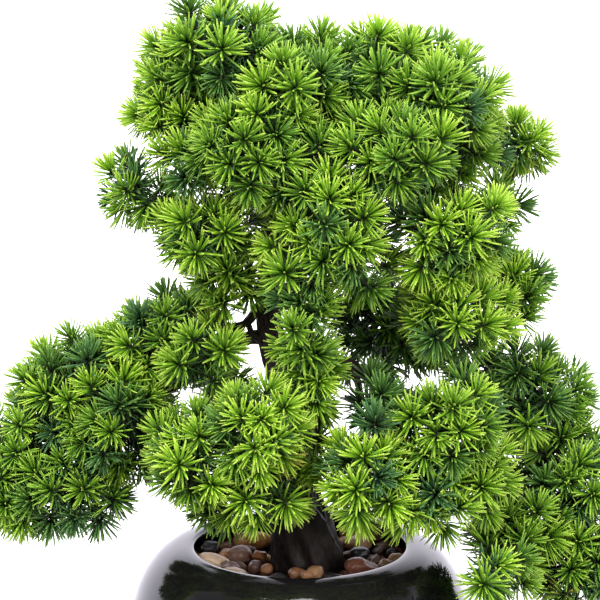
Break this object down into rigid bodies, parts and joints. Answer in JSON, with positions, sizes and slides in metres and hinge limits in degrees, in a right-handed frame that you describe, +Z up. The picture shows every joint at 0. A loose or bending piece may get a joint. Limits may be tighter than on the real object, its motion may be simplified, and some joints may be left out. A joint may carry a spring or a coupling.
{
  "type": "artificial tabletop tree",
  "caption": "Artificial pine in bonsai style: moulded needle sprays on bendable limbs round an S-shaped trunk, set among pebbles in a round glossy black bowl.",
  "frame": {"origin": "centre of the underside of the felt pad that the pot stands on", "axes": "+X to the tree's right as seen from its front, +Y to its back, +Z up"},
  "size_m": [0.4205, 0.221, 0.45],
  "materials": {
    "needles": "satin",
    "needles_dark": "satin",
    "bark": "satin",
    "glaze": "gloss",
    "stone": "polished",
    "foam": "matte",
    "steel": "satin",
    "felt": "matte"
  },
  "bodies": {
    "root": {"base_pad": "felt", "foam_core": "foam", "limb_centre": "bark", "limb_crown_left": "bark", "limb_crown_right": "bark", "pebble_back_left": "stone", "pebble_back_right": "stone", "pebble_bed": "stone", "pebble_front_left": "stone", "pebble_front_right": "stone", "pot": "glaze", "spray_centre_lower": "needles_dark", "spray_centre_upper": "needles", "spray_crown_back_left": "needles", "spray_crown_back_right": "needles", "spray_crown_front_left": "needles", "spray_crown_front_right": "needles", "spray_crown_left": "needles", "spray_crown_right": "needles", "spray_crown_top_left": "needles", "spray_crown_top_mid": "needles", "spray_crown_top_right": "needles", "trunk": "bark", "trunk_rod": "steel"},
    "lower_left": {"limb_lower_left": "bark", "spray_left_back": "needles", "spray_left_inner": "needles", "spray_left_low": "needles_dark", "spray_left_middle": "needles", "spray_left_outer": "needles", "spray_left_tip": "needles", "spray_left_upper": "needles"},
    "lower_right": {"limb_lower_right": "bark", "spray_cascade_low": "needles", "spray_cascade_mid": "needles", "spray_cascade_tip": "needles", "spray_cascade_top": "needles"},
    "mid_left": {"limb_mid_left": "bark", "spray_mid_left_back": "needles", "spray_mid_left_front": "needles", "spray_mid_left_tip": "needles"},
    "mid_right": {"limb_mid_right": "bark", "spray_mid_right_back": "needles", "spray_mid_right_lower": "needles", "spray_mid_right_tip": "needles", "spray_mid_right_upper": "needles"},
    "front_left": {"limb_front_left": "bark", "spray_front_centre": "needles", "spray_front_left": "needles", "spray_front_low": "needles", "spray_front_under": "needles_dark"},
    "front_right": {"limb_front_right": "bark", "spray_right_dark": "needles_dark", "spray_right_front": "needles", "spray_right_low": "needles", "spray_right_middle": "needles"},
    "back": {"limb_back": "bark", "spray_back_lower": "needles", "spray_back_middle": "needles", "spray_back_upper": "needles"}
  },
  "joints": [
    {"name": "bend_lower_left", "type": "hinge", "parent": "root", "child": "lower_left", "pos_m": [-0.033, 0.001, 0.239], "axis": [0, 1, 0], "range_deg": [-8, 10]},
    {"name": "bend_lower_right", "type": "hinge", "parent": "root", "child": "lower_right", "pos_m": [0.007, 0.003, 0.22], "axis": [0, 1, 0], "range_deg": [-5, 4]},
    {"name": "bend_mid_left", "type": "hinge", "parent": "root", "child": "mid_left", "pos_m": [-0.031, 0, 0.295], "axis": [0, 1, 0], "range_deg": [-11, 8]},
    {"name": "bend_mid_right", "type": "hinge", "parent": "root", "child": "mid_right", "pos_m": [0.003, -0.002, 0.317], "axis": [0, 1, 0], "range_deg": [-7, 5]},
    {"name": "bend_front_left", "type": "hinge", "parent": "root", "child": "front_left", "pos_m": [-0.009, -0.019, 0.191], "axis": [1, 0, 0], "range_deg": [-8, 12]},
    {"name": "bend_front_right", "type": "hinge", "parent": "root", "child": "front_right", "pos_m": [0.014, -0.015, 0.178], "axis": [1, 0, 0], "range_deg": [-5, 12]},
    {"name": "bend_back", "type": "hinge", "parent": "root", "child": "back", "pos_m": [-0.017, 0.014, 0.265], "axis": [1, 0, 0], "range_deg": [-10, 8]}
  ]
}
